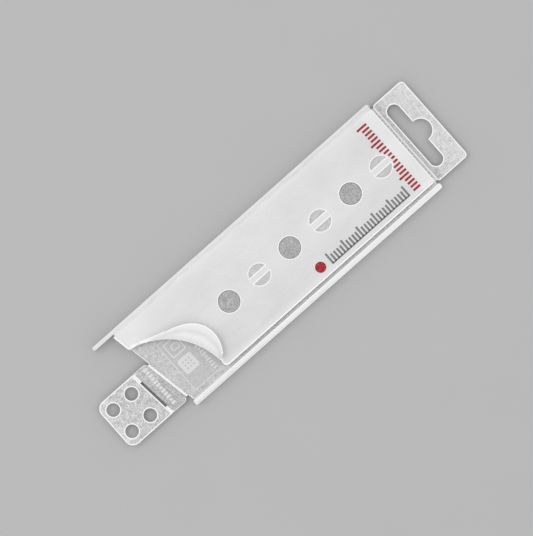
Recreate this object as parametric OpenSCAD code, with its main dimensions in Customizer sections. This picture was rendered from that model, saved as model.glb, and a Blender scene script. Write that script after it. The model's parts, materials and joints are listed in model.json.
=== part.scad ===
// Magnetic knife blade guard: two hinged leaves, a carrier card between them,
// a euro slot hang tab at one end and a folding tie tab at the other.
// The guard lies on its back leaf. X runs along it towards the hang tab,
// Y towards the spine, Z up to the front leaf.

/* [Guard] */
// Length of the spine strip, with its finger
guard_l = 163.6; // [160:0.1:176]
// Width over the spine strip and the edge rail
guard_w = 50; // [49:0.5:54]
// Thickness of each leaf
leaf_t = 1.4; // [1.3:0.05:1.6]
// Space between the leaves, where the blade goes
blade_gap = 2.95; // [2.8:0.05:3.4]
// Slant of the heel end of the leaves, in degrees
heel_slant = 10.1; // [6:0.1:14]
// How far the spine strip runs past the leaves at the heel
finger_l = 10.9; // [6:0.1:14]
// How far the front leaf runs past the back leaf at the heel
front_overhang = 0.75; // [0:0.05:1]
// Radius of the front leaf's corner by the spine and the hang tab
leaf_corner_r = 0.6; // [0.3:0.1:3]
// How far the front leaf stops short of the back leaf at the hang tab
front_set_back = 0.3; // [0:0.1:1.2]
// How far the card stops short of the back leaf there
card_set_back = 0.4; // [0.2:0.1:0.8]

/* [Spine and rail] */
// Width of the spine strip
spine_w = 1.9; // [1.6:0.1:2.4]
// Height of the spine strip
spine_h = 5.7; // [5.4:0.05:5.75]
// Width of the edge rail
rail_w = 2.3; // [1.8:0.1:2.6]
// Height of the edge rail
rail_h = 5.2; // [2:0.1:5.7]
// Gap between the front leaf and the edge rail
finger_gap = 1.8; // [1.4:0.1:2.6]
// Radius along the top edges of the strip and the rail
crown_r = 0.5; // [0.2:0.05:0.8]

/* [Stations] */
// Distance from one station on the centre line to the next
station_pitch = 18; // [16:0.5:18]
// Distance from the finger tip to the first station
first_station = 59.5; // [56:0.5:62]
// Diameter of a magnet
magnet_d = 9.85; // [8:0.05:10]
// Thickness of a magnet
magnet_t = 2; // [1.6:0.1:2]
// Diameter of a barred window
window_d = 9.75; // [8:0.05:10]
// Width of the bar across a window
bar_w = 3.4; // [2.4:0.1:4]
// Depth of the half moons on both sides of the bar
window_depth = 0.6; // [0.3:0.05:0.9]
// Width of the raised ring round a pocket or window
ring_w = 0.55; // [0.4:0.05:0.8]
// Height of the raised rings and ribs
ring_h = 0.25; // [0.15:0.05:0.3]
// Width of the rib along each edge of a bar
rib_w = 0.5; // [0.3:0.05:0.7]
// Distance from the bar's edge to the middle of its rib
rib_inset = 0.4; // [0.3:0.05:0.6]

/* [Rolled corner] */
// Radius of the rolled edge, seen from above
curl_arc_r = 33.15; // [32:0.05:36]
// Distance of the arc's centre from the finger tip
curl_arc_x = 6.15; // [4:0.05:7]
// Distance of the arc's centre from the open long edge
curl_arc_y = 5.6; // [2:0.05:6]
// Greatest radius of the roll itself
roll_r = 3.3; // [2.4:0.1:3.6]
// Greatest width of the turned back flap, past the arc
flap_w = 9.35; // [7:0.05:9.5]

/* [Carrier card] */
// Thickness of the card and its tabs
card_t = 0.5; // [0.4:0.05:0.6]
// Gap between the card and the spine strip
card_spine_gap = 0.4; // [0.3:0.05:0.6]
// Gap between the card and the edge rail
card_rail_gap = 0.45; // [0.3:0.05:1.2]
// Width of a folding line
score_w = 1.2; // [1.2:0.05:1.4]
// Thickness left in a folding line
score_t = 0.24; // [0.2:0.02:0.3]
// Distance between the holes of the perforated line
perforation_pitch = 1.95; // [1.8:0.05:2.4]

/* [Hang tab] */
// Width of the hang tab, along Y
hang_w = 44.6; // [44:0.1:45]
// Length of the hang tab, past the perforated line
hang_l = 17.7; // [16.8:0.1:20]
// Length of the euro slot, round ends included
euro_l = 34.4; // [30:0.1:36]
// Width of the euro slot
euro_w = 6.4; // [5.5:0.1:7]
// Radius of the bump in the middle of the euro slot
euro_bump_r = 5.1; // [4:0.1:5.5]

/* [Tie tab] */
// Width of the neck and the tie tab, along Y
tie_w = 24.5; // [24:0.5:26]
// Distance from the tie tab's end to the finger tip
tie_reach = 16.3; // [16:0.1:18]
// Distance between the holes along X
tie_hole_pitch_x = 10.8; // [10:0.1:11.2]
// Distance between the holes along Y
tie_hole_pitch_y = 12.6; // [11.8:0.1:13]
// Diameter of the four holes
tie_hole_d = 6.1; // [5:0.1:6.4]
// Slant of the folding line between the neck and the tie tab, in degrees
tie_slant = 5.3; // [4:0.1:6.5]
// Length of the slot in that folding line
tie_slot_l = 15.4; // [12:0.1:16]

/* [Hidden] */
$fn = 72;
fit = 0.05;
foot_r = 0.25;
through = 1;

// places along X: the whole length is centred on the origin
hang_end = guard_l - card_set_back + score_w + hang_l;
finger_tip = -(tie_reach + hang_end) / 2 + tie_reach;
guard_end = finger_tip + guard_l;
front_end = guard_end - front_set_back;
card_end = guard_end - card_set_back;
leaf_top_x = finger_tip + finger_l;
hang_x = card_end + score_w;
hang_end_x = hang_x + hang_l;
tie_end_x = finger_tip - tie_reach;

// places along Y
spine_y = guard_w / 2 - spine_w;
rail_y = -guard_w / 2 + rail_w;
card_hi_y = spine_y - card_spine_gap;
card_lo_y = rail_y + card_rail_gap;
hang_hi_y = card_hi_y;
hang_lo_y = card_hi_y - hang_w;
hinge_reach = 0.65;
hinge_y = spine_y - 0.2;
front_hi_y = hinge_y - hinge_reach;
front_lo_y = rail_y + finger_gap;

// places along Z
front_z = leaf_t + blade_gap;
front_top = front_z + leaf_t;
card_z = leaf_t + (blade_gap - card_t) / 2;
card_mid_z = card_z + card_t / 2;
cup_floor_t = 0.32;
cup_h = magnet_t + fit + cup_floor_t;

// station n sits on the centre line; 0, 2 and 4 hold the front magnets
function station_x(n) = finger_tip + first_station + n * station_pitch;
MAGNET_STATIONS = [0, 2, 4];
WINDOW_STATIONS = [1, 3, 5];

// the slanted heel end of the leaves, as X for a given Y, moved out by gap
function heel_x(y, gap = 0) =
  leaf_top_x + (spine_y - y) * tan(heel_slant) - gap / cos(heel_slant);

// outline with each corner rounded by an arc of its own radius
function unit(v) = v / norm(v);
function corner_arc(before, corner, after, r, steps) =
  let (
    back = unit(before - corner),
    ahead = unit(after - corner),
    half = acos(back * ahead) / 2,
    centre = corner + unit(back + ahead) * r / sin(half),
    from = corner + back * r / tan(half) - centre,
    to = corner + ahead * r / tan(half) - centre,
    start = atan2(from.y, from.x),
    turn = (atan2(to.y, to.x) - start + 540) % 360 - 180
  )
  [for (i = [0:steps])
    centre + r * [cos(start + turn * i / steps), sin(start + turn * i / steps)]];
function rounded(corners, radii, steps = 6) =
  let (n = len(corners))
  [for (i = [0:n - 1])
    each radii[i] > 0
      ? corner_arc(corners[(i + n - 1) % n], corners[i], corners[(i + 1) % n],
                   radii[i], steps)
      : [corners[i]]];

// a panel between the slanted heel, moved out by gap, and the far end
module leaf_outline(lo_y, hi_y, end_x, end_r, gap = 0) {
  polygon(rounded(
    [[heel_x(hi_y, gap), hi_y], [heel_x(lo_y, gap), lo_y], [end_x, lo_y], [end_x, hi_y]],
    [0.4, 0.4, 0.8, end_r]
  ));
}

// raised ring round a pocket or a window
module ring(inner_d) {
  difference() {
    cylinder(d = inner_d + 2 * ring_w, h = ring_h + fit);
    translate([0, 0, -through]) cylinder(d = inner_d, h = ring_h + 2 * through);
  }
}

// border of a barred window: each half moon has its own raised edge, a stretch
// of the ring and a rib along the bar, and the bar runs out between them
module window_border() {
  rib_y = bar_w / 2 - rib_inset;
  outer_d = window_d + 2 * ring_w;
  h = ring_h + fit;
  difference() {
    ring(window_d);
    translate([-outer_d, -rib_y, -through]) cube([2 * outer_d, 2 * rib_y, h + 2 * through]);
  }
  intersection() {
    for (side = [-1, 1])
      translate([-outer_d / 2, side * rib_y - rib_w / 2, 0]) cube([outer_d, rib_w, h]);
    cylinder(d = outer_d, h = h);
  }
}

// the two sunk half moons of a barred window, cut from the outer face inwards
module half_moons() {
  h = window_depth + through;
  translate([0, 0, -through])
    difference() {
      cylinder(d = window_d, h = h);
      translate([-window_d, -bar_w / 2, -through])
        cube([2 * window_d, bar_w, h + 2 * through]);
    }
}

// cup behind a magnet pocket, drawn from the outer face inwards
module cup() {
  cylinder(d1 = magnet_d + 2.6, d2 = magnet_d + 1.6, h = cup_h);
}

module pocket() {
  translate([0, 0, -through])
    cylinder(d = magnet_d + 2 * fit, h = magnet_t + fit + through);
}

// pockets at the first list of stations, barred windows at the second;
// drawn with the outer face at Z 0 and the leaf above it
module leaf_features(magnets, windows) {
  difference() {
    union() {
      children();
      for (n = magnets) translate([station_x(n), 0, 0]) cup();
    }
    for (n = magnets) translate([station_x(n), 0, 0]) pocket();
    for (n = windows) translate([station_x(n), 0, 0]) half_moons();
  }
}

module magnet() {
  chamfer = 0.2;
  rotate_extrude()
    polygon([
      [0, 0], [magnet_d / 2 - chamfer, 0], [magnet_d / 2, chamfer],
      [magnet_d / 2, magnet_t - chamfer], [magnet_d / 2 - chamfer, magnet_t],
      [0, magnet_t]
    ]);
}

// back leaf: the same pattern turned over, magnets facing the front windows
module back_leaf() {
  color([0.86, 0.86, 0.86])
    leaf_features(WINDOW_STATIONS, MAGNET_STATIONS)
      linear_extrude(leaf_t)
        leaf_outline(rail_y, spine_y, guard_end, 0.8);
}

module back_magnet(i) {
  color([0.62, 0.62, 0.63])
    translate([station_x(WINDOW_STATIONS[i]), 0, fit]) magnet();
}

module front_magnet(i) {
  color([0.62, 0.62, 0.63])
    translate([station_x(MAGNET_STATIONS[i]), 0, front_top - fit - magnet_t]) magnet();
}

// a strip along X: a section with its own corner radii, run between two ends
// whose corners have their own radii in plan
module strip(from_x, to_x, lo_y, w, h, radii, plan_radii) {
  spare = 0.3;
  lo = lo_y - spare;
  hi = lo_y + w + spare;
  intersection() {
    linear_extrude(h)
      polygon(rounded([[from_x, lo], [to_x, lo], [to_x, hi], [from_x, hi]], plan_radii, 8));
    translate([from_x - through, lo_y, 0])
      rotate([90, 0, 90])
        linear_extrude(to_x - from_x + 2 * through)
          polygon(rounded([[0, 0], [w, 0], [w, h], [0, h]], radii));
  }
}

module spine_strip() {
  end_r = spine_w / 2;
  color([0.95, 0.95, 0.95])
    strip(finger_tip, guard_end, spine_y, spine_w, spine_h, [0, foot_r, crown_r, 0],
          [end_r, 0, 1.8, end_r]);
}

module edge_rail() {
  overrun = 0.85;
  r = rail_w / 2;
  color([0.95, 0.95, 0.95])
    strip(heel_x(rail_y) - overrun, guard_end + 0.6, -guard_w / 2, rail_w, rail_h,
          [foot_r, 0, crown_r, crown_r], [r, r, r, r]);
}

// thin web on the spine strip's inner face that the front leaf folds about
module leaf_hinge_web() {
  web_t = 0.35;
  color([0.93, 0.93, 0.93])
    translate([leaf_top_x + 0.6, hinge_y - 0.45, spine_h - web_t])
      cube([front_end - leaf_top_x - 3, spine_y - hinge_y + 0.45, web_t]);
}

// rolled back corner: the sheet leaves the leaf, turns up along an arc and comes
// back over. Sections stand across the arc, and each follows the sheet round its
// bend and along its flap. At both ends of the arc the sheet is only turned up,
// and a last section beyond each end is squeezed to a tongue inside the flat leaf.
curl_lo = 2.2;
curl_hi = 78.2;
curl_peak = 26.5;
curl_steps = 46;
curl_end_lift = 12;
curl_full_turn = 186;
curl_ease_lo = 6;
curl_ease_hi = 20;
flap_bend = 8;
flap_least_l = 0.5;
root_w = 4.6;
root_wedge_w = 0.9;
root_wedge_h = 0.1;
curl_lap = 1;
curl_play = 0.1;
curl_centre = [finger_tip + curl_arc_x, -guard_w / 2 + curl_arc_y];

// width of the flap past the arc, for an angle on the arc
function flap_reach(a) =
  a > curl_peak
    ? flap_w * pow(max(0, cos(90 * (a - curl_peak) / (84 - curl_peak))), 4.2)
    : flap_w * max(0, cos(90 * (curl_peak - a) / (curl_peak - curl_lo - 0.5)));

// how far the sheet has turned, in degrees
function ease(t) = let (c = min(1, max(0, t))) c * c * (3 - 2 * c);
function roll_turn(a, r) =
  let (
    over = 180 - asin(max(-1, 1 - flap_reach(a) / r)),
    ends = ease((a - curl_lo) / curl_ease_lo) * ease((curl_hi - a) / curl_ease_hi)
  )
  curl_end_lift + (min(curl_full_turn, over) - curl_end_lift) * ends;

// radius of the bend, for the width of the flap and for a small turn
function bend_r(a) =
  let (least = leaf_t + 0.8)
  least + (roll_r - least) * pow(flap_reach(a) / flap_w, 0.6);
function roll_bend_r(a) =
  let (r = bend_r(a), least_run = 2.6)
  max(r, least_run / (roll_turn(a, r) * PI / 180));

// point on the sheet's outer side: s runs 0 to 1 round the bend, 1 to 2 on the flap
function sheet_point(r, turn, flap_l, s) =
  let (f = min(s, 1) * turn, along = max(0, s - 1), bent = turn + flap_bend / 2 * along)
  [-r * sin(f) - along * flap_l * cos(bent), r - r * cos(f) + along * flap_l * sin(bent)];
function inwards(turn, s) =
  let (f = min(s, 1) * turn + flap_bend * max(0, s - 1)) [sin(f), cos(f)];

// section as [distance past the arc, height above the leaf's underside];
// its root ends in a flat wedge that sits inside the edge of the flat leaf
function roll_section(a) =
  let (
    turn = roll_turn(a, bend_r(a)),
    r = roll_bend_r(a),
    bend_x = turn < 90 ? r * sin(turn) + flap_least_l * cos(turn) : r,
    spare = flap_reach(a) - r * (1 - sin(turn)),
    flap_l = max(flap_least_l, turn > 120 ? spare / -cos(turn + flap_bend / 2) : 0),
    stops = [for (i = [0:12]) i / 12, for (i = [1:4]) 1 + i / 4],
    last = len(stops) - 1
  )
  [
    each [for (s = stops) [bend_x, 0] + sheet_point(r, turn, flap_l, s)],
    each [for (i = [last:-1:0])
      [bend_x, 0] + sheet_point(r, turn, flap_l, stops[i]) + leaf_t * inwards(turn, stops[i])],
    [root_w - root_wedge_w, leaf_t],
    [root_w, leaf_t - root_wedge_h],
    [root_w, root_wedge_h],
    [root_w - root_wedge_w, 0]
  ];

function curl_angle(k) = curl_lo + (curl_hi - curl_lo) * k / curl_steps;
function tongue_section(a) =
  [for (p = roll_section(a)) [0.15 + 0.93 * p.x, root_wedge_h + 0.6 * p.y]];
function on_arc(section, a) =
  [for (p = section) [(curl_arc_r + p.x) * cos(a), (curl_arc_r + p.x) * sin(a), p.y]];

module rolled_corner() {
  rows = [
    on_arc(tongue_section(curl_lo), curl_lo - curl_lap),
    for (k = [0:curl_steps]) on_arc(roll_section(curl_angle(k)), curl_angle(k)),
    on_arc(tongue_section(curl_hi), curl_hi + curl_lap)
  ];
  n = len(rows[0]);
  row_end = len(rows) - 1;
  points = [for (row = rows) each row];
  sides = [for (k = [0:row_end - 1]) for (i = [0:n - 1])
    let (j = (i + 1) % n, at = k * n, next = (k + 1) * n)
    each [[at + i, next + i, next + j], [at + i, next + j, at + j]]];
  first = [for (i = [0:n - 1]) i];
  last = [for (i = [n - 1:-1:0]) row_end * n + i];
  translate([curl_centre.x, curl_centre.y, front_z])
    polyhedron(points, concat(sides, [first, last]), convexity = 6);
}

// what the rolled corner takes out of the flat leaf: everything inside the arc,
// and the strip beyond it that belongs to the roll, up to its wedge and tongues
module curl_cut() {
  h = leaf_t + 2 * through;
  far = 2 * curl_arc_r;
  lo = curl_lo - curl_play;
  hi = curl_hi + curl_play;
  translate([curl_centre.x, curl_centre.y, front_z - through]) {
    cylinder(r = curl_arc_r, h = h, $fn = 180);
    intersection() {
      cylinder(r = curl_arc_r + root_w - root_wedge_w + 0.1, h = h, $fn = 180);
      linear_extrude(h)
        polygon([
          [0, 0], far * [cos(lo), sin(lo)], [far, far],
          far * [cos(hi), sin(hi)]
        ]);
    }
  }
}

// flat front leaf, with the corner inside the roll cut away
module flat_front_leaf() {
  difference() {
    translate([0, 0, front_top])
      mirror([0, 0, 1])
        leaf_features(MAGNET_STATIONS, WINDOW_STATIONS)
          linear_extrude(leaf_t)
            leaf_outline(front_lo_y, front_hi_y, front_end, leaf_corner_r, front_overhang);
    curl_cut();
  }
}

module front_leaf() {
  color([0.87, 0.87, 0.87]) {
    flat_front_leaf();
    rolled_corner();
    for (n = MAGNET_STATIONS)
      translate([station_x(n), 0, front_top - fit]) ring(magnet_d + 2 * fit);
    for (n = WINDOW_STATIONS)
      translate([station_x(n), 0, front_top - fit]) window_border();
  }
}

// carrier card between the leaves
module carrier_card() {
  color([0.78, 0.78, 0.78])
    translate([0, 0, card_z])
      linear_extrude(card_t)
        leaf_outline(card_lo_y, card_hi_y, card_end, 0.8);
}

// strip with a row of holes that the hang tab bends and tears along
module hang_tab_perforation() {
  web_w = score_w - 0.25;
  row_l = hang_w - 4;
  count = floor(row_l / perforation_pitch);
  hole_r = 0.34;
  color([0.8, 0.8, 0.8])
    translate([card_end, (hang_hi_y + hang_lo_y) / 2, card_mid_z - score_t / 2])
      difference() {
        translate([0, -row_l / 2, 0]) cube([web_w, row_l, score_t]);
        for (i = [0:count - 1])
          translate([web_w / 2, (i - (count - 1) / 2) * perforation_pitch, -through])
            cylinder(r = hole_r, h = score_t + 2 * through, $fn = 16);
      }
}

// euro slot: a long slot with round ends and a round bump in its middle
euro_margin = 2.65;
euro_x = hang_x + euro_margin + euro_w / 2;
euro_y = (hang_hi_y + hang_lo_y) / 2;
euro_bump_x = euro_x + euro_w / 2 + 0.2;

module euro_slot(h) {
  run = euro_l / 2 - euro_w / 2;
  translate([euro_x, euro_y, -through]) {
    for (side = [-1, 1]) translate([0, side * run, 0]) cylinder(d = euro_w, h = h);
    translate([-euro_w / 2, -run, 0]) cube([euro_w, 2 * run, h]);
  }
  translate([euro_bump_x, euro_y, -through]) cylinder(r = euro_bump_r, h = h);
}

module hang_tab() {
  color([0.82, 0.82, 0.82])
    translate([0, 0, card_z])
      difference() {
        linear_extrude(card_t)
          polygon(rounded(
            [[hang_x, hang_lo_y], [hang_end_x, hang_lo_y],
             [hang_end_x, hang_hi_y], [hang_x, hang_hi_y]],
            [1.4, 2, 2, 1.4]
          ));
        euro_slot(card_t + 2 * through);
      }
}

// tie tab: neck and tab share one pair of long edges
tie_mid_y = -8.2;
tie_hi_y = tie_mid_y + tie_w / 2;
tie_lo_y = tie_mid_y - tie_w / 2;
tie_hole_x = tie_end_x + 10.64;
fold_x = finger_tip + 7.0;

// the slanted folding line between neck and tab, moved out by gap
function tie_x(y, gap = 0) =
  fold_x + (tie_mid_y - y) * tan(tie_slant) - gap / cos(tie_slant);

module neck_score() {
  web_w = score_w - 0.25;
  inset = 1.4;
  hi_y = tie_hi_y - inset;
  lo_y = tie_lo_y + inset;
  color([0.92, 0.92, 0.92])
    translate([0, 0, card_mid_z - score_t / 2])
      linear_extrude(score_t)
        polygon([
          [heel_x(hi_y), hi_y], [heel_x(hi_y, web_w), hi_y],
          [heel_x(lo_y, web_w), lo_y], [heel_x(lo_y), lo_y]
        ]);
}

module tab_neck() {
  color([0.72, 0.72, 0.72])
    translate([0, 0, card_z])
      linear_extrude(card_t)
        polygon(rounded(
          [[tie_x(tie_hi_y, -score_w / 2), tie_hi_y],
           [tie_x(tie_lo_y, -score_w / 2), tie_lo_y],
           [heel_x(tie_lo_y, score_w), tie_lo_y],
           [heel_x(tie_hi_y, score_w), tie_hi_y]],
          [0, 0, 2.2, 1.8]
        ));
}

// what is left of the second folding line above and below its slot
module tie_tab_score() {
  web_w = score_w - 0.25;
  color([0.92, 0.92, 0.92])
    translate([0, 0, card_mid_z - score_t / 2])
      for (side = [-1, 1]) {
        near_y = tie_mid_y - 0.4 + side * (tie_slot_l - score_w) / 2;
        far_y = tie_mid_y + side * (tie_w / 2 - 0.2);
        difference() {
          linear_extrude(score_t)
            polygon([
              [tie_x(near_y, -score_w / 2), near_y],
              [tie_x(near_y, web_w - score_w / 2), near_y],
              [tie_x(far_y, web_w - score_w / 2), far_y],
              [tie_x(far_y, -score_w / 2), far_y]
            ]);
          translate([tie_x(near_y), near_y, -through])
            cylinder(d = score_w - 0.1, h = score_t + 2 * through);
        }
      }
}

module tie_tab() {
  color([0.8, 0.8, 0.8])
    translate([0, 0, card_z])
      difference() {
        linear_extrude(card_t)
          polygon(rounded(
            [[tie_end_x, tie_hi_y], [tie_end_x, tie_lo_y],
             [tie_x(tie_lo_y, score_w / 2), tie_lo_y],
             [tie_x(tie_hi_y, score_w / 2), tie_hi_y]],
            [4, 4, 0, 0]
          ));
        for (sx = [-1, 1])
          for (sy = [-1, 1])
            translate([tie_hole_x + sx * tie_hole_pitch_x / 2,
                       tie_mid_y + sy * tie_hole_pitch_y / 2, -through])
              cylinder(d = tie_hole_d, h = card_t + 2 * through);
      }
}

back_leaf();
edge_rail();
spine_strip();
leaf_hinge_web();
back_magnet(0);  // back_magnet_1
back_magnet(1);  // back_magnet_2
back_magnet(2);  // back_magnet_3
front_leaf();
front_magnet(0);  // front_magnet_1
front_magnet(1);  // front_magnet_2
front_magnet(2);  // front_magnet_3
carrier_card();
hang_tab_perforation();
neck_score();
hang_tab();
tab_neck();
tie_tab_score();
tie_tab();
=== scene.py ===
# %% [markdown]
# # A knife blade guard, dressed for its portrait
#
# The guard is a flat book. Two milky plastic leaves are joined along a spine strip, a rail closes
# the other edge, and a carrier card lies between them. One corner of the front leaf is rolled back
# like a lip. Disc magnets sit in round pockets, and between them the leaf has sunk windows with a
# bar across. The card runs out at both ends, as a hang tab and as a tie tab with four holes.
#
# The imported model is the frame: it says where every piece is and how it moves. This script builds
# finer pieces over it and gives each one its finish. Everything is thin plastic sheet, so nearly
# every piece comes from one tool of our own, a sheet with rounded edges.

import json
import math

import bmesh
import bpy
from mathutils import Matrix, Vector
from mathutils.geometry import intersect_line_line_2d, tessellate_polygon


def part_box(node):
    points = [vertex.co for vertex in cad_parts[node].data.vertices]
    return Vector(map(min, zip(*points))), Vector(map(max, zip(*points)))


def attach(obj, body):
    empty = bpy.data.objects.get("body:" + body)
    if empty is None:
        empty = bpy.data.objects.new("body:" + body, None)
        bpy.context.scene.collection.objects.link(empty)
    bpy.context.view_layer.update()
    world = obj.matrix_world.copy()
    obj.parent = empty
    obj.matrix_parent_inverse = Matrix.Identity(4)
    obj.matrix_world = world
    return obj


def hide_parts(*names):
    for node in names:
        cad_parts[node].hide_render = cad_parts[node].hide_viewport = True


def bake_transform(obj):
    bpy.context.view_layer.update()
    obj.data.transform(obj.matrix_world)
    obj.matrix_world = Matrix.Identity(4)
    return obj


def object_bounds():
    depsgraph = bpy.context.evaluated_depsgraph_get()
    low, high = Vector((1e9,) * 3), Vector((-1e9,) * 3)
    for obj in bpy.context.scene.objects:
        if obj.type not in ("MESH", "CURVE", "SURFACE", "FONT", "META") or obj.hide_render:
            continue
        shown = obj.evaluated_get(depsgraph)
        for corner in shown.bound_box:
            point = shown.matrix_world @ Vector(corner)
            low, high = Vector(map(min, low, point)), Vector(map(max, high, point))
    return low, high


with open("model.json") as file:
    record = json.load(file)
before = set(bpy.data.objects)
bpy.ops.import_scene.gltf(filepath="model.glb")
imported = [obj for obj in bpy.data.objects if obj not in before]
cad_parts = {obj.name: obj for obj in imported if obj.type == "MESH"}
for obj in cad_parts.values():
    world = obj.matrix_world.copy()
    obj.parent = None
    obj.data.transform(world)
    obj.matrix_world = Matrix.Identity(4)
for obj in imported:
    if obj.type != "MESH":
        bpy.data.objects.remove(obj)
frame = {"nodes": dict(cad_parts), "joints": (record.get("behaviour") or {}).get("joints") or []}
cad_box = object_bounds()
nodes = frame["nodes"]
joints = {j["name"]: j for j in frame["joints"]}
MM = 0.001

# %% [markdown]
# ## The camera
#
# The guard is seen straight from above and turned in the picture. A long lens far away keeps the
# view as good as parallel. The picture is 533 pixels wide, and one pixel is 0.4436 mm on the guard,
# so the sensor width, the distance and the covered width together give the focal length.

# %% Camera
PICTURE_WIDTH_PX = 533
MM_PER_PX = 0.4436
CAMERA_DISTANCE = 1.5
CAMERA_TURN_DEG = -41.6
CAMERA_X, CAMERA_Y, SHARP_Z = -1.17 * MM, 0.11 * MM, 5.0 * MM

covered = PICTURE_WIDTH_PX * MM_PER_PX * MM
lens_data = bpy.data.cameras.new("camera")
lens_data.sensor_fit = "HORIZONTAL"
lens_data.sensor_width = 36.0
lens_data.lens = lens_data.sensor_width * CAMERA_DISTANCE / covered
camera = bpy.data.objects.new("camera", lens_data)
camera.location = (CAMERA_X, CAMERA_Y, SHARP_Z + CAMERA_DISTANCE)
camera.rotation_euler = (0, 0, math.radians(CAMERA_TURN_DEG))
bpy.context.scene.collection.objects.link(camera)
bpy.context.scene.camera = camera
print("camera: lens", round(lens_data.lens, 1), "mm, covers", round(covered, 4), "m")

# %% [markdown]
# ## Shader maths as Python
#
# A material is a network of nodes, and writing one by hand is long. Here a Wire is the output of a
# node, and plus, minus and times on wires add the Math nodes that they stand for. So
# `tone + 0.02 * grain` in Python becomes nodes in the material. All other nodes come from one
# method, which takes the node's type, its settings and its inputs.

# %% Wires and finishes
NOISE_GAIN = 6.0


class Wire:
    """The output of a shader node; arithmetic on it adds Math nodes."""

    def __init__(self, finish, socket):
        self.finish, self.socket = finish, socket

    def math(self, operation, a, b=0.0):
        return self.finish.node("ShaderNodeMath", {"operation": operation}, {0: a, 1: b})

    def __add__(self, other):
        return self.math("ADD", self, other)

    def __radd__(self, other):
        return self.math("ADD", other, self)

    def __sub__(self, other):
        return self.math("SUBTRACT", self, other)

    def __rsub__(self, other):
        return self.math("SUBTRACT", other, self)

    def __mul__(self, other):
        return self.math("MULTIPLY", self, other)

    def __rmul__(self, other):
        return self.math("MULTIPLY", other, self)

    def rise(self, low, high):
        """0 below low, 1 above high and a smooth step between them; low may be above high."""
        return self.finish.node(
            "ShaderNodeMapRange",
            {"interpolation_type": "SMOOTHSTEP"},
            {"Value": self, "From Min": low, "From Max": high},
        )


class Finish:
    """One material: a Principled shader, and the nodes that feed it."""

    def __init__(self, name, roughness, **constants):
        self.material = bpy.data.materials.new(name)
        self.material.use_nodes = True
        self.tree = self.material.node_tree
        self.shader = self.tree.nodes["Principled BSDF"]
        self.shader.inputs["Roughness"].default_value = roughness
        for socket, value in constants.items():
            self.shader.inputs[socket.replace("_", " ")].default_value = value

    def node(self, kind, settings, inputs, output=0):
        made = self.tree.nodes.new(kind)
        for key, value in settings.items():
            setattr(made, key, value)
        for key, value in inputs.items():
            if isinstance(value, Wire):
                self.tree.links.new(value.socket, made.inputs[key])
            else:
                made.inputs[key].default_value = value
        return Wire(self, made.outputs[output])

    def feed(self, socket, wire):
        self.tree.links.new(wire.socket, self.shader.inputs[socket])

    def place(self):
        """The point on the piece, in metres in the frame."""
        return self.node("ShaderNodeTexCoord", {}, {}, "Object")

    def axis(self, name):
        return self.node("ShaderNodeSeparateXYZ", {}, {"Vector": self.place()}, name)

    def mark(self, name):
        """A number that the mesh carries on its points, such as rim."""
        return self.node("ShaderNodeAttribute", {"attribute_name": name}, {}, "Fac")

    def grain(self, size_mm, detail=2.0, stretch=(1.0, 1.0, 1.0)):
        """Noise around 0, mostly from -1 to 1, whose blots are about size_mm across."""
        spread = self.node(
            "ShaderNodeVectorMath", {"operation": "MULTIPLY"}, {0: self.place(), 1: stretch}
        )
        inputs = {"Vector": spread, "Scale": 1.0 / (size_mm * MM), "Detail": detail}
        return (self.node("ShaderNodeTexNoise", {}, inputs) - 0.5) * NOISE_GAIN

    def mix(self, share, a, b):
        """From a to b as share goes from 0 to 1."""
        return a + share * (b - a)

    def climb(self, tone, climbs):
        """Adds to the tone along the axes. A climb is (axis, where it starts and ends in mm, how
        much it adds)."""
        for axis, start, end, gain in climbs:
            tone = tone + gain * self.axis(axis).rise(start * MM, end * MM)
        return tone

    def relief(self, height, depth_mm):
        bump = self.node("ShaderNodeBump", {}, {"Height": height, "Distance": depth_mm * MM})
        self.feed("Normal", bump)


print("shader maths is ready")

# %% [markdown]
# ## Light and floor
#
# A pale floor, an even sky and two large soft lamps. The sky and the lamps together add up to a
# strength of about one, so a colour renders about as it is written. The lamps stand high and to the
# side, which gives the rolled corner a light and a shaded side and the guard a soft shadow.

# %% Light and floor
SKY_STRENGTH = 0.80
FLOOR_TONE = 0.48
FLOOR_HALF = 3.0
FLOOR_Z = cad_box[0][2] - 0.02 * MM


def soft_lamp(name, location, size, power):
    lamp_data = bpy.data.lights.new(name, "AREA")
    lamp_data.shape = "DISK"
    lamp_data.size = size
    lamp_data.energy = power
    lamp = bpy.data.objects.new(name, lamp_data)
    lamp.location = location
    lamp.rotation_euler = (-Vector(location)).to_track_quat("-Z", "Y").to_euler()
    bpy.context.scene.collection.objects.link(lamp)


soft_lamp("key_lamp", (-0.35, 0.5, 1.35), 1.1, 4.4)
soft_lamp("fill_lamp", (0.5, -0.45, 1.4), 1.4, 1.9)

sky = bpy.data.worlds.new("sky")
sky.use_nodes = True
sky.node_tree.nodes["Background"].inputs["Color"].default_value = (1, 1, 1, 1)
sky.node_tree.nodes["Background"].inputs["Strength"].default_value = SKY_STRENGTH
bpy.context.scene.world = sky
bpy.context.scene.view_settings.view_transform = "Standard"

floor_finish = Finish("floor_paper", 0.9, Specular_IOR_Level=0.1)
floor_finish.feed("Base Color", floor_finish.grain(30.0) * 0.002 + FLOOR_TONE)
floor_mesh = bpy.data.meshes.new("floor")
floor_mesh.from_pydata(
    [(sx * FLOOR_HALF, sy * FLOOR_HALF, FLOOR_Z) for sx, sy in ((-1, -1), (1, -1), (1, 1), (-1, 1))],
    [],
    [(0, 1, 2, 3)],
)
floor = bpy.data.objects.new("floor", floor_mesh)
floor_mesh.materials.append(floor_finish.material)
bpy.context.scene.collection.objects.link(floor)
print("light: sky", SKY_STRENGTH, "and two lamps; floor tone", FLOOR_TONE)

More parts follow.
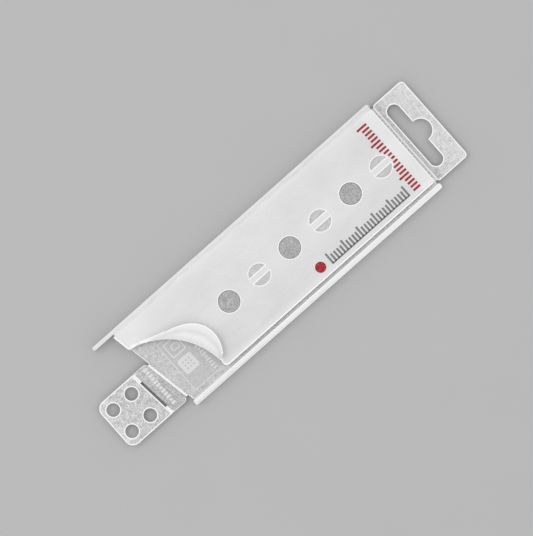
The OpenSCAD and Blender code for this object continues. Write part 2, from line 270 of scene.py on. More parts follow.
# %% [markdown]
# ## Outlines
#
# A sheet is drawn as an outline seen from above, in millimetres, with round corners. `rounded`
# swaps each corner for an arc of its own radius, `plate` does so for a rectangle, and `circle` gives
# a hole. An outline runs counter-clockwise and a hole clockwise, so the plastic is always on the
# left of the line.

# %% Outlines
def rounded(corners, radii, steps=8):
    """Corner points in, outline with arcs out. A radius of 0 keeps the corner."""
    outline = []
    for i, r in enumerate(radii):
        corner = Vector(corners[i])
        if r == 0:
            outline.append(tuple(corners[i]))
            continue
        back = (Vector(corners[i - 1]) - corner).normalized()
        ahead = (Vector(corners[(i + 1) % len(corners)]) - corner).normalized()
        half = math.acos(max(-1.0, min(1.0, back.dot(ahead)))) / 2
        centre = corner + (back + ahead).normalized() * (r / math.sin(half))
        first = corner + back * (r / math.tan(half)) - centre
        last = corner + ahead * (r / math.tan(half)) - centre
        start = math.atan2(first.y, first.x)
        turn = (math.atan2(last.y, last.x) - start + 3 * math.pi) % (2 * math.pi) - math.pi
        for k in range(steps + 1):
            a = start + turn * k / steps
            outline.append((centre.x + r * math.cos(a), centre.y + r * math.sin(a)))
    return outline


def plate(low_x, low_y, high_x, high_y, radii, steps=8):
    """A rectangle with round corners. The radii start at its low corner and run counter-clockwise."""
    return rounded([(low_x, low_y), (high_x, low_y), (high_x, high_y), (low_x, high_y)], radii, steps)


def arc(x, y, r, from_deg, to_deg, steps):
    """Points along a circle; from_deg above to_deg runs clockwise."""
    angles = [math.radians(from_deg + (to_deg - from_deg) * k / steps) for k in range(steps + 1)]
    return [(x + r * math.cos(a), y + r * math.sin(a)) for a in angles]


def circle(x, y, r, steps=72):
    """A round hole, clockwise."""
    return arc(x, y, r, 360, 0, steps)[:-1]


def normals_of(outline):
    """For each point, the way into the plastic, as long as a step of one millimetre needs."""
    result = []
    for i, here in enumerate(outline):
        edges = [
            Vector(here) - Vector(outline[i - 1]),
            Vector(outline[(i + 1) % len(outline)]) - Vector(here),
        ]
        left = [Vector((-e.y, e.x)).normalized() for e in edges]
        result.append((left[0] + left[1]) / (1 + left[0].dot(left[1])))
    return result


def moved_in(outline, ways, inset):
    """The outline moved into the plastic. An arc smaller than the inset would turn inside out, so
    its points gather where the straight edges before and after it meet."""
    moved = [Vector(p) + way * inset for p, way in zip(outline, ways)]
    n = len(moved)
    turned = [
        (moved[(i + 1) % n] - moved[i]).dot(Vector(outline[(i + 1) % n]) - Vector(outline[i])) < 0
        for i in range(n)
    ]
    for first in (i for i in range(n) if turned[i] and not turned[i - 1]):
        last = first
        while turned[last % n]:
            last += 1
        meeting = intersect_line_line_2d(
            moved[first - 1], moved[first], moved[last % n], moved[(last + 1) % n]
        )
        for i in range(first, last + 1) if meeting else ():
            moved[i % n] = meeting
    return moved


print("outlines: a corner of 4 mm gets", len(rounded([(0, 0), (9, 0), (9, 9)], [4, 0, 0])) - 2, "points")

# %% [markdown]
# ## A sheet with rounded edges
#
# Real sheet has no knife-sharp edges, and a cut or moulded edge of milky plastic looks whiter than
# its face, which the materials paint in as a highlight. So a sheet is built in rings: its side is a
# small quarter circle, a wall and another quarter circle, and a last ring lies flat on the face, a
# little way in. That ring does two jobs. Its points carry the mark rim = 0 and the points of the
# edge carry rim = 1, so a material can paint a highlight along the edge. It also keeps the smooth
# shading of the edge from spreading over the face.
#
# A Bevel modifier could round the edges too, but it gives no mark for the painted highlight and
# trips over the small arcs.

# %% Sheet builder
RIM_W = 0.6
EDGE_STEPS = 4
WELD = 0.004
SHARP_DEG = 40.0


class Draft:
    """The mesh of one piece while it is being made, in millimetres."""

    def __init__(self):
        self.bm = bmesh.new()
        self.rim = self.bm.verts.layers.float.new("rim")
        self.lift = self.bm.verts.layers.float.new("lift")
        self.crease = self.bm.verts.layers.float.new("crease")

    def point(self, x, y, z, rim=0.0, lift=0.0, crease=0.0):
        v = self.bm.verts.new((x * MM, y * MM, z * MM))
        v[self.rim], v[self.lift], v[self.crease] = rim, lift, crease
        return v

    def face(self, points, material=0):
        unique = list(dict.fromkeys(points))
        if len(unique) > 2:
            f = self.bm.faces.new(unique)
            f.material_index, f.smooth = material, True

    def band(self, one, other, closed=True, skip=(), material=0):
        """Faces between two rows of points of equal length."""
        n = len(one)
        for i in range(n if closed else n - 1):
            if i not in skip:
                j = (i + 1) % n
                self.face([one[i], one[j], other[j], other[i]], material)

    def strip(self, cuts):
        """A closed strip through closed cuts, one after the other, with a face on both ends."""
        for one, other in zip(cuts, cuts[1:]):
            self.band(one, other)
        self.face(cuts[0])
        self.face(cuts[-1][::-1])

    def fill(self, loops):
        """A flat cap between an outline and its holes."""
        joined = [v for loop in loops for v in loop]
        flat = [[Vector((v.co.x, v.co.y, 0)) / MM for v in loop] for loop in loops]
        for corners in tessellate_polygon(flat):
            self.face([joined[i] for i in corners])

    def finish(self, name, finishes, slot, body=None, node=None):
        """Welds the rows, turns all faces outwards and makes the object. It rides on the body, and it
        stands in for the node of the frame."""
        bmesh.ops.remove_doubles(self.bm, verts=self.bm.verts, dist=WELD * MM)
        bmesh.ops.dissolve_degenerate(self.bm, edges=self.bm.edges, dist=0.002 * MM)
        bmesh.ops.recalc_face_normals(self.bm, faces=self.bm.faces)
        open_edges = sum(1 for e in self.bm.edges if not e.is_manifold)
        mesh = bpy.data.meshes.new(name)
        self.bm.to_mesh(mesh)
        self.bm.free()
        mesh.set_sharp_from_angle(angle=math.radians(SHARP_DEG))
        for finish in finishes:
            mesh.materials.append(finish.material)
        piece = bpy.data.objects.new(name, mesh)
        bpy.context.scene.collection.objects.link(piece)
        if body:
            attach(piece, body)
        if node:
            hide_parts(node)
        counts = f"{len(mesh.vertices)} points, {len(mesh.polygons)} faces, {open_edges} open edges"
        print(f"{name}: {counts}")
        return piece


def side_levels(thickness, low_r, high_r):
    """The side of a sheet as (how far in, how high up), from its low face to its high face."""
    quarter = [math.radians(90 * k / EDGE_STEPS) for k in range(EDGE_STEPS + 1)]
    low = [(low_r * (1 - math.sin(t)), low_r * (1 - math.cos(t))) for t in quarter]
    high = [(high_r * (1 - math.cos(t)), thickness - high_r * (1 - math.sin(t))) for t in quarter]
    return low + high


NO_SEAM = {"edges": set(), "points": set(), "normals": {}, "rim_w": RIM_W}


def add_sheet(draft, outline, holes, z, thickness, edge_r=0.12, high_r=None, rim_w=RIM_W,
              face_rim=0.0, seam=NO_SEAM, low_rows=(), high_rows=()):
    """Adds a sheet from z upwards. Seam says which edges of the outline another part closes. Low_rows
    and high_rows are rows of points of pockets and cups, which the two faces leave open."""
    levels = side_levels(thickness, edge_r, edge_r if high_r is None else high_r)
    low_cap, high_cap = [], []
    for loop in [outline] + list(holes):
        kept = seam if loop is outline else NO_SEAM
        ways = normals_of(loop)
        for i, way in kept["normals"].items():
            ways[i] = way

        def row(inset, height, rim, ways=ways):
            made = []
            for i, here in enumerate(moved_in(loop, ways, inset)):
                if i in kept["points"]:
                    flat_z = z + thickness if height > thickness / 2 else z
                    made.append(draft.point(*loop[i], flat_z))
                else:
                    made.append(draft.point(here.x, here.y, z + height, rim))
            return made

        # At both ends of a seam the last ring has to meet a point of the other part.
        ways_to_rim = list(ways)
        for i in kept["normals"]:
            ways_to_rim[i] = ways[i] * (kept["rim_w"] / rim_w)
        rows = [row(inset, height, 1.0) for inset, height in levels]
        for one, other in zip(rows, rows[1:]):
            draft.band(one, other, skip=kept["edges"])
        for cap, edge_row, height in ((low_cap, rows[0], 0.0), (high_cap, rows[-1], thickness)):
            inner = row(rim_w, height, face_rim, ways_to_rim)
            draft.band(edge_row, inner, skip=kept["edges"])
            cap.append([inner[i] for i in range(len(inner)) if not_twice(inner, i)])
    draft.fill(low_cap + list(low_rows))
    draft.fill(high_cap + list(high_rows))


def not_twice(points, i):
    """False where a point lies on the one before it, as rows do at the end of a seam."""
    return (points[i].co - points[i - 1].co).length > WELD * MM


def lathe(draft, x, y, profile, steps=72, material=0, squash=lambda dy, z, rim: (z, rim)):
    """Turns (radius, z, rim) points round the vertical line through x, y. Returns the first row.
    Squash may change the height and the rim of a point, going by its way off the middle in y."""
    rows = []
    for r, z, rim in profile:
        if r == 0:
            rows.append([draft.point(x, y, z, rim)] * steps)
        else:
            rows.append([
                draft.point(px, py, *squash(py - y, z, rim)) for px, py in circle(x, y, r, steps)
            ])
    for one, other in zip(rows, rows[1:]):
        draft.band(one, other, material=material)
    return rows[0]


print("sheet builder: a side has", len(side_levels(1.4, 0.3, 0.3)), "levels")

# %% [markdown]
# ## Sizes from the frame
#
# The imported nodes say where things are. Only what a box can't say is written here as a number,
# such as the thickness of a leaf or the slant of its heel end.

# %% Sizes
def reach(node):
    """Lowest and highest corner of a node in millimetres."""
    low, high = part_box(node)
    return low / MM, high / MM


LEAF_T = 1.4
HEEL_SLANT = math.radians(10.1)
FRONT_OVERHANG = 0.75
SPINE_LOW, SPINE_HIGH = reach("spine_strip")
RAIL_LOW, RAIL_HIGH = reach("edge_rail")
BACK_LOW, BACK_HIGH = reach("back_leaf")
FRONT_LOW, FRONT_HIGH = reach("front_leaf")
CARD_LOW, CARD_HIGH = reach("carrier_card")
HANG_LOW, HANG_HIGH = reach("hang_tab")
TIE_LOW, TIE_HIGH = reach("tie_tab")
HINGE = Vector(joints["leaf_open"]["pos_m"]) / MM
TIE_FOLD = Vector(joints["tie_tab_fold"]["pos_m"]) / MM

FRONT_TOP = HINGE.z
FRONT_Z = FRONT_TOP - LEAF_T
CARD_T = CARD_HIGH.z - CARD_LOW.z
CARD_MID_Z = (CARD_LOW.z + CARD_HIGH.z) / 2
SCORE_W = HANG_LOW.x - CARD_HIGH.x
LEAF_TOP_X = SPINE_LOW.x + 10.9


def heel_x(y, gap=0.0):
    """The slanted heel end of the leaves and the card, moved out by gap."""
    return LEAF_TOP_X + (SPINE_LOW.y - y) * math.tan(HEEL_SLANT) - gap / math.cos(HEEL_SLANT)


print("front leaf top", round(FRONT_TOP, 3), "mm, card", round(CARD_T, 3), "mm thick")
print("folding line width", round(SCORE_W, 3), "mm")

# %% [markdown]
# ## Magnets, pockets and windows
#
# Six stations lie in a row. Three hold a disc magnet in an open pocket with a low raised ring, and
# behind each pocket the leaf swells into a shallow cup. The other three are barred windows: a round
# sink with a bar across it and a fine rib along each edge of the bar. The back leaf has the same
# pattern turned over, with magnets where the front leaf has windows, but its outer face is flush,
# so that the guard lies flat.
#
# Everything round is turned on a lathe: a profile of (radius, height) goes round once. The sheet
# leaves a round hole, and the lathe's first ring fits that hole exactly.

# %% Stations
STATIONS = {"magnet": [], "window": []}
for name in sorted(nodes):
    if "magnet" in name:
        low, high = reach(name)
        kind = "magnet" if name.startswith("front") else "window"
        STATIONS[kind].append(((low.x + high.x) / 2, (low.y + high.y) / 2))
magnet_low, magnet_high = reach("front_magnet_1")
MAGNET_R = (magnet_high.x - magnet_low.x) / 2
MAGNET_T = magnet_high.z - magnet_low.z
FIT = 0.05
POCKET_R = MAGNET_R + FIT
WINDOW_R = 4.875
BAR_W = 3.4
RIB_W, RIB_INSET = 0.5, 0.4
RING_W, RING_H = 0.55, 0.25
RIB_Y = BAR_W / 2 - RIB_INSET
WINDOW_DEPTH = 0.6
CUP_H = MAGNET_T + FIT + 0.32
for kind, places in STATIONS.items():
    print(kind, "stations at x", [round(x, 1) for x, y in places], "mm")


# The third number of each profile point is its rim mark, the share of painted highlight that the leaf's
# finish puts there.
def ring_profile(inner_r, depth, raised):
    """A hole from the leaf's face down to its floor, with a low raised ring or a flush edge."""
    outer = inner_r + RING_W
    ring = [
        (outer + 0.35, 0.0, 0.0), (outer + 0.08, 0.0, 0.2), (outer + 0.02, -0.06, 0.45),
        (outer - 0.03, -RING_H + 0.07, 0.5), (outer - 0.10, -RING_H, 0.5),
        (inner_r + 0.12, -RING_H, 0.5), (inner_r + 0.04, -RING_H + 0.06, 0.5),
        (inner_r, -RING_H + 0.16, 0.45),
    ]
    flush = [
        (outer, 0.0, 0.0), (inner_r + 0.12, 0.0, 0.8), (inner_r + 0.03, 0.03, 1.0), (inner_r, 0.12, 0.8),
    ]
    floor_edge = [
        (inner_r, depth - 0.12, 0.2), (inner_r - 0.04, depth - 0.03, 0.0), (inner_r - 0.14, depth, 0.0),
        (inner_r - 0.6, depth, 0.0), (0.0, depth, 0.0),
    ]
    return (ring if raised else flush) + floor_edge


def cup_profile():
    """The swelling behind a pocket, from its foot on the inner face to its flat end."""
    foot = MAGNET_R + 1.3 - 0.5 * LEAF_T / CUP_H
    tip = MAGNET_R + 0.8
    return [
        (foot + 0.5, LEAF_T, 0.0), (foot + 0.1, LEAF_T, 0.1), (foot, LEAF_T + 0.06, 0.5),
        (tip + 0.08, CUP_H - 0.12, 0.6), (tip, CUP_H - 0.02, 1.0), (tip - 0.15, CUP_H, 0.6),
        (tip - 0.6, CUP_H, 0.0), (0.0, CUP_H, 0.0),
    ]


def station_rows(draft, outer_z, inwards, magnets, windows, raised):
    """Turns all pockets, cups and windows. Heights count from the outer face inwards.
    Returns the first rows on the outer face and on the inner face, which the caps leave open."""
    outer_rows, inner_rows = [], []
    for x, y in magnets:
        hole = ring_profile(POCKET_R, MAGNET_T + FIT, raised)
        down = [(r, outer_z + inwards * h, rim) for r, h, rim in hole]
        outer_rows.append(lathe(draft, x, y, down))
        up = [(r, outer_z + inwards * h, rim) for r, h, rim in cup_profile()]
        inner_rows.append(lathe(draft, x, y, up))
    for x, y in windows:
        hole = ring_profile(WINDOW_R, WINDOW_DEPTH, raised)
        down = [(r, outer_z + inwards * h, rim) for r, h, rim in hole]

        def open_at_bar(dy, z, rim):
            """The ring sinks to the leaf's face where the bar runs out between its ribs."""
            share = min(1.0, max(0.0, (abs(dy) - (RIB_Y - 0.25)) / 0.3))
            above = (z - outer_z) * inwards < 0
            return (outer_z + (z - outer_z) * share, rim * share) if above else (z, rim)

        outer_rows.append(lathe(draft, x, y, down[:-2], 144, squash=open_at_bar))
        lathe(draft, x, y, down[-3:], 144, material=1)
    return outer_rows, inner_rows


def span(outer_z, inwards, shallow, deep):
    """Lowest height and thickness of what lies between two depths under the outer face."""
    ends = (outer_z + inwards * shallow, outer_z + inwards * deep)
    return min(ends), max(ends) - min(ends)


def window_bar(draft, x, y, outer_z, inwards, raised):
    """The bar across a window and the ribs along its edges, each a closed little sheet."""
    half = BAR_W / 2
    end = math.degrees(math.asin(half / WINDOW_R))
    bar = arc(x, y, WINDOW_R + 0.02, -end, end, 6) + arc(x, y, WINDOW_R + 0.02, 180 - end, 180 + end, 6)
    add_sheet(draft, bar, [], *span(outer_z, inwards, 0.0, WINDOW_DEPTH + 0.05), edge_r=0.06, rim_w=0.2)
    for side in (-1, 1) if raised else ():
        middle = y + side * RIB_Y
        run = math.sqrt((WINDOW_R + RING_W) ** 2 - RIB_Y ** 2) - 0.05
        rib = plate(x - run, middle - RIB_W / 2, x + run, middle + RIB_W / 2, [0.2] * 4, 4)
        low, height = span(outer_z, inwards, 0.01 - RING_H, 0.03)
        # The rib's face carries part of the painted edge highlight.
        add_sheet(draft, rib, [], low, height, edge_r=0.1, rim_w=0.2, face_rim=0.35)


print("pocket radius", round(POCKET_R, 3), "mm, cup height", round(CUP_H, 3), "mm")

# %% [markdown]
# ## The rolled corner
#
# The lip follows an arc. Across the arc the sheet runs flat out of the leaf, bends up and over and
# ends in a short flap, so it is a loft of sections that stand on the arc. Each section walks along
# the underside of the sheet, round the rounded end of the flap and back along the upper side.
# Towards both ends of the arc the bend eases out to nothing, so the loft ends exactly in the flat
# leaf and the two can be welded. Nearly the same functions, in coarser form, made the solid in the
# frame.

# %% Section of the rolled corner
ARC_R = 33.15
ARC_CENTRE = Vector((SPINE_LOW.x + 6.15, RAIL_LOW.y + 5.6))
ROLL_R = 3.3
FLAP_W = 9.35
ARC_FROM, ARC_TO, ARC_PEAK = 2.2, 78.2, 26.5
ARC_FADE, FADE_POWER = 84.0, 4.2
FULL_TURN = 186.0
END_TURN = 0.05
FLAP_BEND = 8.0
FLAP_LEAST = 0.5
LEAST_RUN = 2.6
ROOT_W = 4.6
LEAF_EDGE_R = 0.3
LEAF_RIM_W = 0.9
ARC_STEPS = 120
BEND_STEPS = 16
FLAP_STEPS = 8
CREASE_AT = 0.59


def cos_deg(a):
    return math.cos(math.radians(a))


def sin_deg(a):
    return math.sin(math.radians(a))


def ease(t):
    t = min(1.0, max(0.0, t))
    return t * t * (3 - 2 * t)


def flap_reach(a):
    """How far the flap lies past the arc, for an angle on the arc."""
    if a > ARC_PEAK:
        return FLAP_W * max(0.0, cos_deg(90 * (a - ARC_PEAK) / (ARC_FADE - ARC_PEAK))) ** FADE_POWER
    return FLAP_W * max(0.0, cos_deg(90 * (ARC_PEAK - a) / (ARC_PEAK - ARC_FROM - 0.5))) ** 0.75


def bend_radius(a):
    least = LEAF_T + 0.8
    return least + (ROLL_R - least) * (flap_reach(a) / FLAP_W) ** 0.6


def turn_at(a):
    """How far the sheet has turned at the end of its bend, in degrees."""
    over = 180 - math.degrees(math.asin(max(-1.0, 1 - flap_reach(a) / bend_radius(a))))
    ends = ease((a - ARC_FROM) / 6) * ease((ARC_TO - a) / 20)
    return END_TURN + (min(FULL_TURN, over) - END_TURN) * ends


def roll_section(a):
    """Points (past the arc, above the underside, rim, lift, crease) of one section."""
    turn = turn_at(a)
    r = max(bend_radius(a), LEAST_RUN / math.radians(turn))
    bend_x = r * sin_deg(turn) + FLAP_LEAST * cos_deg(turn) if turn < 90 else r
    rolled = ease(turn / 50)
    flap_bend = FLAP_BEND * rolled
    spare = flap_reach(a) - r * (1 - sin_deg(turn))
    most = (0.6 + r * (1 + cos_deg(turn))) / sin_deg(turn + flap_bend / 2) if turn < 175 else FLAP_W
    flap = max(FLAP_LEAST, min(most, spare / -cos_deg(turn + flap_bend / 2)) if turn > 120 else 0.0)
    reach_here = flap_reach(a)

    def on_sheet(share, along, depth):
        """share of the bend, way along the flap, depth into the sheet from its underside."""
        f = share * turn
        bent = turn + flap_bend / 2 * along / flap
        facing = f + flap_bend * along / flap
        x = bend_x - r * sin_deg(f) - along * cos_deg(bent) + depth * sin_deg(facing)
        y = r - r * cos_deg(f) + along * sin_deg(bent) + depth * cos_deg(facing)
        return x, y

    def bend_highlight(f):
        """A highlight is painted on the bend where it stands upright and just above, against its shading.
        """
        return math.exp(-((f - 100) / 28) ** 2) * rolled

    def tail_highlight(x):
        """Where the sheet isn't rolled over, a highlight is painted softly towards its edge."""
        return 0.75 * (1 - rolled) * math.exp(-(x / 1.7) ** 2)

    def on_top(share, along):
        """A point of the underside, which lies on top once it has turned over."""
        x, y = on_sheet(share, along, 0)
        # The crease mark places a band of painted shade along the lip.
        crease = math.exp(-((x - CREASE_AT * reach_here) / 1.1) ** 2) * ease(reach_here / 5)
        over_the_top = ease((share * turn - 90) / 60)
        return x, y, bend_highlight(share * turn) if along == 0 else 0.0, rolled * ease(share * turn / 50), \
            crease * over_the_top

    shares = [k / BEND_STEPS for k in range(BEND_STEPS + 1)]
    rim_along = flap - min(LEAF_RIM_W, 0.7 * flap)
    alongs = [rim_along * k / FLAP_STEPS for k in range(1, FLAP_STEPS + 1)]
    under = [on_top(s, 0) for s in shares] + [on_top(1, t) for t in alongs]
    over = [(*on_sheet(s, 0, LEAF_T), 0.0, rolled * ease(s * turn / 60), 0.0) for s in shares]
    over += [(*on_sheet(1, t, LEAF_T), 0.0, rolled, 0.0) for t in alongs]
    over = [(x, y, tail_highlight(x), lift, crease) for x, y, _, lift, crease in over]
    end = [
        (*on_sheet(1, flap - inset, depth), 1.0, rolled, 0.0)
        for inset, depth in side_levels(LEAF_T, LEAF_EDGE_R, LEAF_EDGE_R)
    ]
    root = [(ROOT_W, height, 0.0, 0.0, 0.0) for height in (0.0, LEAF_T)]
    return root[:1] + under + end + over[::-1] + root[1:]


ARC_ANGLES = [ARC_FROM + (ARC_TO - ARC_FROM) * k / ARC_STEPS for k in range(ARC_STEPS + 1)]
print("section points:", len(roll_section(30)), "in", len(ARC_ANGLES), "sections")
print("roll stands", round(max(p[1] for p in roll_section(ARC_PEAK)), 2), "mm above the underside")

# %% [markdown]
# ## The front leaf
#
# Its outline leaves out the corner inside the arc. Where the rolled corner takes over, the outline
# follows the root of the roll, and those edges are a seam: the sheet builder leaves them open, and
# the loft closes them. The points of both fall on each other, so welding makes one skin.

# %% Outline of the front leaf
FRONT_LO_Y = FRONT_LOW.y
FRONT_HI_Y = HINGE.y - 0.65
FRONT_END = FRONT_HIGH.x


def on_arc(r, a):
    return (ARC_CENTRE.x + r * cos_deg(a), ARC_CENTRE.y + r * sin_deg(a))


def arc_meets_heel():
    """The angle at which the arc runs out of the slanted heel end, by halving."""
    low, high = ARC_TO, 88.0
    for _ in range(40):
        middle = (low + high) / 2
        x, y = on_arc(ARC_R, middle)
        low, high = (middle, high) if x > heel_x(y, FRONT_OVERHANG) else (low, middle)
    return low


def front_outline():
    """The outline, and the seam that the rolled corner closes."""
    heel_angle = arc_meets_heel()
    long_angle = math.degrees(math.asin((FRONT_LO_Y - ARC_CENTRE.y) / ARC_R))
    on_edge = [on_arc(ARC_R, a) for a in (heel_angle, ARC_TO, ARC_FROM, long_angle)]
    far_side = [(FRONT_END, FRONT_LO_Y), (FRONT_END, FRONT_HI_Y)]
    heel_top = [(heel_x(FRONT_HI_Y, FRONT_OVERHANG), FRONT_HI_Y)]
    shell = rounded(on_edge + far_side + heel_top, [1.2, 0, 0, 2.0, 0.8, 0.6, 0.4])
    first = shell.index(on_arc(ARC_R, ARC_TO))
    last = shell.index(on_arc(ARC_R, ARC_FROM))
    # How far past the arc the end sections have their points. The nearest one belongs to the leaf's
    # own last ring, and the farthest to the root.
    section = roll_section(ARC_TO)
    flat_side = section[: len(section) // 2]
    radial = sorted({round(p[0], 4) for p in flat_side if p[2] < 1 and p[0] > LEAF_EDGE_R + 0.01})
    out = [on_arc(ARC_R + x, ARC_TO) for x in radial[1:-1]]
    root = [on_arc(ARC_R + ROOT_W, a) for a in ARC_ANGLES[::-1]]
    back = [on_arc(ARC_R + x, ARC_FROM) for x in radial[1:-1]][::-1]
    outline = shell[: first + 1] + out + root + back + shell[last:]
    count = len(out) + len(root) + len(back)
    seam = {
        "edges": set(range(first, first + count + 1)),
        "points": set(range(first + 1, first + count + 1)),
        "normals": {
            first: Vector((cos_deg(ARC_TO), sin_deg(ARC_TO))),
            first + count + 1: Vector((cos_deg(ARC_FROM), sin_deg(ARC_FROM))),
        },
        "rim_w": radial[0],
    }
    return outline, seam


leaf_outline, leaf_seam = front_outline()
print("front leaf outline:", len(leaf_outline), "points,", len(leaf_seam["points"]), "on the seam")

# %% [markdown]
# ## What the leaves look like
#
# Milky polypropylene: satin and light grey, with a highlight painted along every edge, where light
# runs out of the sheet. The tone climbs a little towards the spine and the heel end, which is painted
# light, and it is clearly lighter past the end of the label, because the printed label under the leaf
# shows through it as a faint shadow. The rolled lip lies double, so it is lighter too, and a band of
# painted shade runs along its crease. Slow blots and a fine grain break up the even tone, and the
# grain also feeds a shallow relief.

# %% Leaf finish
LABEL_FROM_X, LABEL_TO_X = -60.7, 74.1
LABEL_LO_Y, LABEL_HI_Y = -19.7, 6.7
# The second tone is the highlight painted along the leaf's edges.
LIP_TONE, EDGE_HIGHLIGHT_TONE = 0.82, 0.97
# Painted light: the leaves are lighter towards the spine.
TOP_PAINTED_LIGHT = (("Y", 15.0, 23.5, 0.035),)
LABEL_CLIMBS = (
    ("X", LABEL_TO_X - 1.5, LABEL_TO_X + 1.5, 0.07),
    ("Y", 7.0, 1.0, 0.02),
    ("Y", -2.0, -10.0, -0.045),
    ("Y", -17.2, -19.6, 0.055),
)


def leaf_finish(name, tone, climbs):
    leaf = Finish(name, 0.42, Specular_IOR_Level=0.35)
    x, y = leaf.axis("X"), leaf.axis("Y")
    rim, lift, crease = leaf.mark("rim"), leaf.mark("lift"), leaf.mark("crease")
    heel_way = x - (LEAF_TOP_X * MM) - ((SPINE_LOW.y * MM) - y) * math.tan(HEEL_SLANT)
    # Painted light: lighter within 22 mm of the heel end. The climbs add the painted light towards the
    # spine and, on the front leaf, the label showing through.
    shade = leaf.climb(tone + 0.055 * heel_way.rise(22 * MM, 0.0), climbs)
    blots = leaf.grain(9.0, 3.0, (0.6, 1.0, 1.0))
    fine = leaf.grain(0.35, 2.0)
    shade = shade + 0.020 * blots + 0.025 * fine
    # The lip is lighter, with a band of painted shade along its crease.
    lip = LIP_TONE + 0.02 * blots + 0.03 * fine - 0.10 * crease
    shade = leaf.mix(lift, shade, lip)
    # A highlight is painted along the edges, but not along the hinge and less at the far end.
    away_from_hinge = y.rise(21.9 * MM, 21.2 * MM)
    before_far_end = 1.0 - 0.6 * x.rise((FRONT_END - 1.8) * MM, (FRONT_END - 1.0) * MM)
    edge_highlight = rim.rise(0.1, 0.7) * away_from_hinge * before_far_end
    leaf.feed("Base Color", leaf.mix(edge_highlight, shade, EDGE_HIGHLIGHT_TONE))
    leaf.feed("Roughness", 0.42 + 0.12 * leaf.grain(2.5))
    leaf.relief(fine + 2.0 * blots, 0.012)
    return leaf


def thin_finish():
    """The floor of a window is thinner, so what lies under it shows darker."""
    thin = Finish("thin_window_floor", 0.5, Specular_IOR_Level=0.3)
    thin.feed("Base Color", 0.565 + 0.05 * thin.grain(1.4, 3.0) + 0.03 * thin.grain(0.4))
    thin.relief(thin.grain(0.5), 0.01)
    return thin


FRONT_FINISH = leaf_finish("milky_front_leaf", 0.705, TOP_PAINTED_LIGHT + LABEL_CLIMBS)
BACK_FINISH = leaf_finish("milky_back_leaf", 0.715, TOP_PAINTED_LIGHT)
THIN_FINISH = thin_finish()
print("finishes:", FRONT_FINISH.material.name, BACK_FINISH.material.name, THIN_FINISH.material.name)

# %% [markdown]
# ## Building the leaves
#
# One builder makes both leaves. The sheet leaves a round hole for each pocket, cup and window, and
# the lathe's first rows are the edges of those holes. A Boolean could cut them as well, but it
# leaves thin triangles round a hole and loses the marks on the points. On the front leaf the loft
# of the rolled corner comes last and closes the seam.

# %% Front leaf
def build_leaf(draft, outline, seam, outer_z, inwards, magnets, windows, raised):
    """A leaf of either side: the sheet, and its pockets, cups and windows."""
    outer_rows, inner_rows = station_rows(draft, outer_z, inwards, magnets, windows, raised)
    low_z, thickness = span(outer_z, inwards, 0.0, LEAF_T)
    low_rows, high_rows = (inner_rows, outer_rows) if inwards < 0 else (outer_rows, inner_rows)
    add_sheet(draft, outline, [], low_z, thickness, LEAF_EDGE_R, rim_w=LEAF_RIM_W, seam=seam,
              low_rows=low_rows, high_rows=high_rows)
    for x, y in windows:
        window_bar(draft, x, y, outer_z, inwards, raised)


def add_roll(draft):
    """The loft of the rolled corner, open at its root and at both ends, where the leaf begins."""
    rows = []
    for a in ARC_ANGLES:
        rows.append([
            draft.point(*on_arc(ARC_R + x, a), FRONT_Z + h, *marks) for x, h, *marks in roll_section(a)
        ])
    for one, other in zip(rows, rows[1:]):
        draft.band(one, other, closed=False)


draft = Draft()
magnets, windows = STATIONS["magnet"], STATIONS["window"]
build_leaf(draft, leaf_outline, leaf_seam, FRONT_TOP, -1, magnets, windows, raised=True)
add_roll(draft)
draft.finish("front_leaf_skin", [FRONT_FINISH, THIN_FINISH], "leaf_plastic", "cover", "front_leaf")

# %% [markdown]
# The back leaf is much the same moulding turned over, so it comes from the same builder, with the
# two kinds of stations exchanged and heights that count upwards from the table. It has no seam.

# %% Back leaf
def heel_plate(low, high):
    """The outline of a sheet between the slanted heel end and the square far end."""
    return rounded(
        [(heel_x(high.y), high.y), (heel_x(low.y), low.y), (high.x, low.y), (high.x, high.y)],
        [0.4, 0.4, 0.8, 0.8],
    )


draft = Draft()
build_leaf(draft, heel_plate(BACK_LOW, BACK_HIGH), NO_SEAM, 0.0, 1, windows, magnets, raised=False)
draft.finish("back_leaf_skin", [BACK_FINISH, THIN_FINISH], "leaf_plastic", "tray", "back_leaf")

# %% [markdown]
# ## Spine strip and edge rail
#
# Two slim mouldings. They catch the light along their rounded upper edges, and a highlight painted
# along those edges adds to it, which makes the fine bright lines down both sides of the guard. The
# rounding is bigger on top than below.

# %% Strips
def strip_finish(name, tone, white):
    strip = Finish(name, 0.36, Specular_IOR_Level=0.4)
    rim = strip.mark("rim")
    flow = strip.grain(1.2, 3.0, (0.15, 1.0, 1.0))
    shade = tone + 0.03 * flow + 0.02 * strip.grain(0.4)
    # A highlight is painted along the rounded edges.
    strip.feed("Base Color", strip.mix(rim * 0.7, shade, white))
    strip.feed("Roughness", 0.36 + 0.1 * strip.grain(2.0))
    strip.relief(flow, 0.02)
    return strip


def build_strip(name, node, low, high, heel_r, far_radii, finish):
    """The heel end has one radius, and the far end has one for each of its two corners."""
    outline = plate(low.x, low.y, high.x, high.y, [heel_r, *far_radii, heel_r])
    draft = Draft()
    add_sheet(draft, outline, [], low.z, high.z - low.z, edge_r=0.22, high_r=0.42, rim_w=0.62)
    draft.finish(name, [finish], "strip_plastic", "tray", node)


SPINE_FINISH = strip_finish("white_spine", 0.735, 0.80)
RAIL_FINISH = strip_finish("white_rail", 0.815, 0.95)
RAIL_INNER = RAIL_HIGH + Vector((0, 0.35, 0))
build_strip("spine_moulding", "spine_strip", SPINE_LOW, SPINE_HIGH, 0.89, (0.25, 1.5), SPINE_FINISH)
build_strip("rail_moulding", "edge_rail", RAIL_LOW, RAIL_INNER, 0.5, (1.0, 1.0), RAIL_FINISH)
